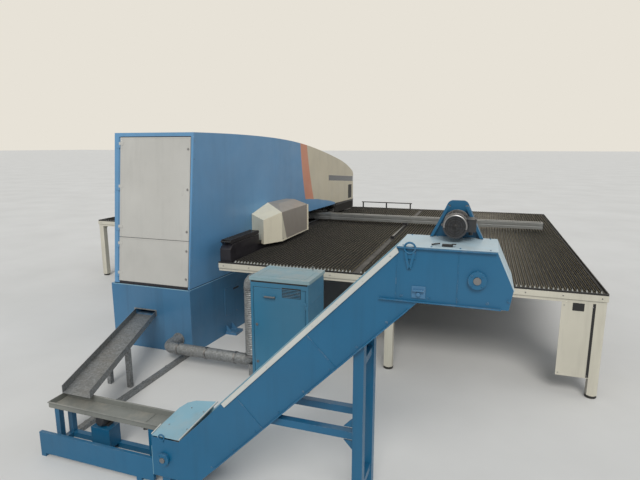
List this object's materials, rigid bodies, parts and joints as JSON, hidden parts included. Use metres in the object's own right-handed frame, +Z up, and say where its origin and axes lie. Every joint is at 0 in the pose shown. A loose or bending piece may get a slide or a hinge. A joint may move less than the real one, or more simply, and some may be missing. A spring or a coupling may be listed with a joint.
{
  "type": "turret punch press",
  "caption": "C-frame turret punch press with rounded hood, brush tables, beam-carried sheet clamps, suction cabinet and an inclined slug conveyor.",
  "frame": {"origin": "on the floor under the punching axis", "axes": "+Z up, +Y from the nose to the rear column, -X towards the wide loading table"},
  "size_m": [7.081, 7.257, 2.2875],
  "materials": {
    "hood_blue": "satin paint",
    "base_blue": "satin paint",
    "frame_grey": "painted casting",
    "stripe_orange": "satin paint",
    "nose_beige": "satin paint",
    "dark_window": "glossy",
    "door_grey": "fine texture paint",
    "cover_cream": "satin paint",
    "turned_steel": "turned",
    "tool_steel": "ground",
    "black_steel": "black oxide",
    "beam_grey": "anodised",
    "table_cream": "satin paint",
    "channel_aluminium": "extruded",
    "brush_black": "bristle",
    "carrier_black": "moulded",
    "cabinet_blue": "satin paint",
    "lid_blue": "satin paint",
    "conveyor_blue": "satin paint",
    "rim_grey": "satin paint",
    "plate_light_blue": "satin paint",
    "galvanised": "galvanised",
    "belt_steel": "rolled",
    "motor_dark": "painted casting",
    "tray_pale": "satin paint",
    "filter_paper": "pleated"
  },
  "bodies": {
    "machine": {"brush_rows": "brush_black", "c_frame": "frame_grey", "cabinet_lid": "lid_blue", "cabinet_shell": "cabinet_blue", "cable_carrier": "carrier_black", "chain_guard": "conveyor_blue", "channel_strips": "channel_aluminium", "conveyor_belt": "belt_steel", "conveyor_cover": "plate_light_blue", "conveyor_far_side": "plate_light_blue", "conveyor_near_side": "conveyor_blue", "conveyor_pan": "conveyor_blue", "conveyor_rim": "rim_grey", "conveyor_stand": "conveyor_blue", "drive_bracket": "conveyor_blue", "far_table_frame": "table_cream", "filter_cartridges": "filter_paper", "floor_duct": "galvanised", "front_rail": "black_steel", "gear_motor": "motor_dark", "hopper": "plate_light_blue", "hydraulic_tank": "frame_grey", "leg_panels": "table_cream", "machine_base": "base_blue", "motor_cover": "cover_cream", "near_table_frame": "table_cream", "nose_hood": "nose_beige", "nose_louvre": "black_steel", "nose_window": "dark_window", "pump_motor": "motor_dark", "rear_hinges": "hood_blue", "rear_hood": "hood_blue", "shaft_bearings": "motor_dark", "shaker_stand": "conveyor_blue", "slug_chute": "galvanised", "stripe_band": "stripe_orange", "suction_pipe": "galvanised", "table_decks": "black_steel", "table_edges": "black_steel", "y_rails": "tool_steel"},
    "beam": {"cross_beam": "beam_grey", "x_rail": "tool_steel"},
    "carriage": {"x_carriage": "black_steel", "clamp_bodies": "tool_steel"},
    "jaw_1": {"clamp_jaw_1": "turned_steel"},
    "jaw_2": {"clamp_jaw_2": "turned_steel"},
    "jaw_3": {"clamp_jaw_3": "turned_steel"},
    "upper_tool_turret": {"upper_turret": "turned_steel", "punch_guides": "tool_steel"},
    "lower_tool_turret": {"lower_turret": "turned_steel", "die_holders": "tool_steel"},
    "punch": {"active_punch": "tool_steel"},
    "striker": {"ram": "turned_steel"},
    "upper_rear_door": {"rear_door": "door_grey"},
    "lower_rear_door": {"rear_lower_door": "door_grey"},
    "filter_door": {"cabinet_door": "cabinet_blue"},
    "drive_drum": {"drive_shaft": "turned_steel"},
    "tail_drum": {"tail_shaft": "turned_steel"},
    "motor_output": {"motor_shaft": "turned_steel"},
    "tray": {"shaker_tray": "tray_pale"}
  },
  "joints": [
    {"name": "y_axis", "type": "slide", "parent": "machine", "child": "beam", "axis": [0, 1, 0], "range_m": [-0.3, 0.95]},
    {"name": "x_axis", "type": "slide", "parent": "beam", "child": "carriage", "axis": [1, 0, 0], "range_m": [-2.5, 1.25]},
    {"name": "clamp_1", "type": "hinge", "parent": "carriage", "child": "jaw_1", "pos_m": [-0.6, 0.55, 1.024], "axis": [1, 0, 0], "range_deg": [-9, 0]},
    {"name": "clamp_2", "type": "hinge", "parent": "carriage", "child": "jaw_2", "pos_m": [0, 0.55, 1.024], "axis": [1, 0, 0], "range_deg": [-9, 0]},
    {"name": "clamp_3", "type": "hinge", "parent": "carriage", "child": "jaw_3", "pos_m": [0.6, 0.55, 1.024], "axis": [1, 0, 0], "range_deg": [-9, 0]},
    {"name": "upper_turret_index", "type": "hinge", "parent": "machine", "child": "upper_tool_turret", "pos_m": [0, -0.5, 1.05], "axis": [0, 0, 1], "continuous": true},
    {"name": "lower_turret_index", "type": "hinge", "parent": "machine", "child": "lower_tool_turret", "pos_m": [0, -0.5, 0.9], "axis": [0, 0, 1], "continuous": true},
    {"name": "ram_stroke", "type": "slide", "parent": "machine", "child": "striker", "axis": [0, 0, -1], "range_m": [0, 0.035]},
    {"name": "punch_stroke", "type": "slide", "parent": "upper_tool_turret", "child": "punch", "axis": [0, 0, -1], "range_m": [0, 0.035]},
    {"name": "upper_rear_hinge", "type": "hinge", "parent": "machine", "child": "upper_rear_door", "pos_m": [0.42, 4.09891, 1.19028], "axis": [0, -0.1212, 0.9926], "range_deg": [-100, 0]},
    {"name": "lower_rear_hinge", "type": "hinge", "parent": "machine", "child": "lower_rear_door", "pos_m": [0.42, 4.16, 0.69], "axis": [0, -0.1212, 0.9926], "range_deg": [-100, 0]},
    {"name": "filter_door_hinge", "type": "hinge", "parent": "machine", "child": "filter_door", "pos_m": [-1.918, 4.6, 0.5], "axis": [0, 0, 1], "range_deg": [0, 110]},
    {"name": "drive_drum_turn", "type": "hinge", "parent": "machine", "child": "drive_drum", "pos_m": [-3.29, 5.8, 1.54], "axis": [0, 1, 0], "continuous": true},
    {"name": "tail_drum_turn", "type": "hinge", "parent": "machine", "child": "tail_drum", "pos_m": [-1.48, 5.8, 0.21], "axis": [0, 1, 0], "continuous": true},
    {"name": "motor_output_turn", "type": "hinge", "parent": "machine", "child": "motor_output", "pos_m": [-3.17, 5.66, 1.762], "axis": [0, 1, 0], "continuous": true},
    {"name": "tray_shake", "type": "slide", "parent": "machine", "child": "tray", "axis": [1, 0, 0], "range_m": [-0.006, 0.006], "stiffness_N_per_m": 4000}
  ],
  "couplings": [
    {"joint": "clamp_2", "follows": "clamp_1", "ratio": 1},
    {"joint": "clamp_3", "follows": "clamp_1", "ratio": 1},
    {"joint": "lower_turret_index", "follows": "upper_turret_index", "ratio": 1},
    {"joint": "punch_stroke", "follows": "ram_stroke", "ratio": 1},
    {"joint": "tail_drum_turn", "follows": "drive_drum_turn", "ratio": 1},
    {"joint": "motor_output_turn", "follows": "drive_drum_turn", "ratio": 1.5}
  ]
}
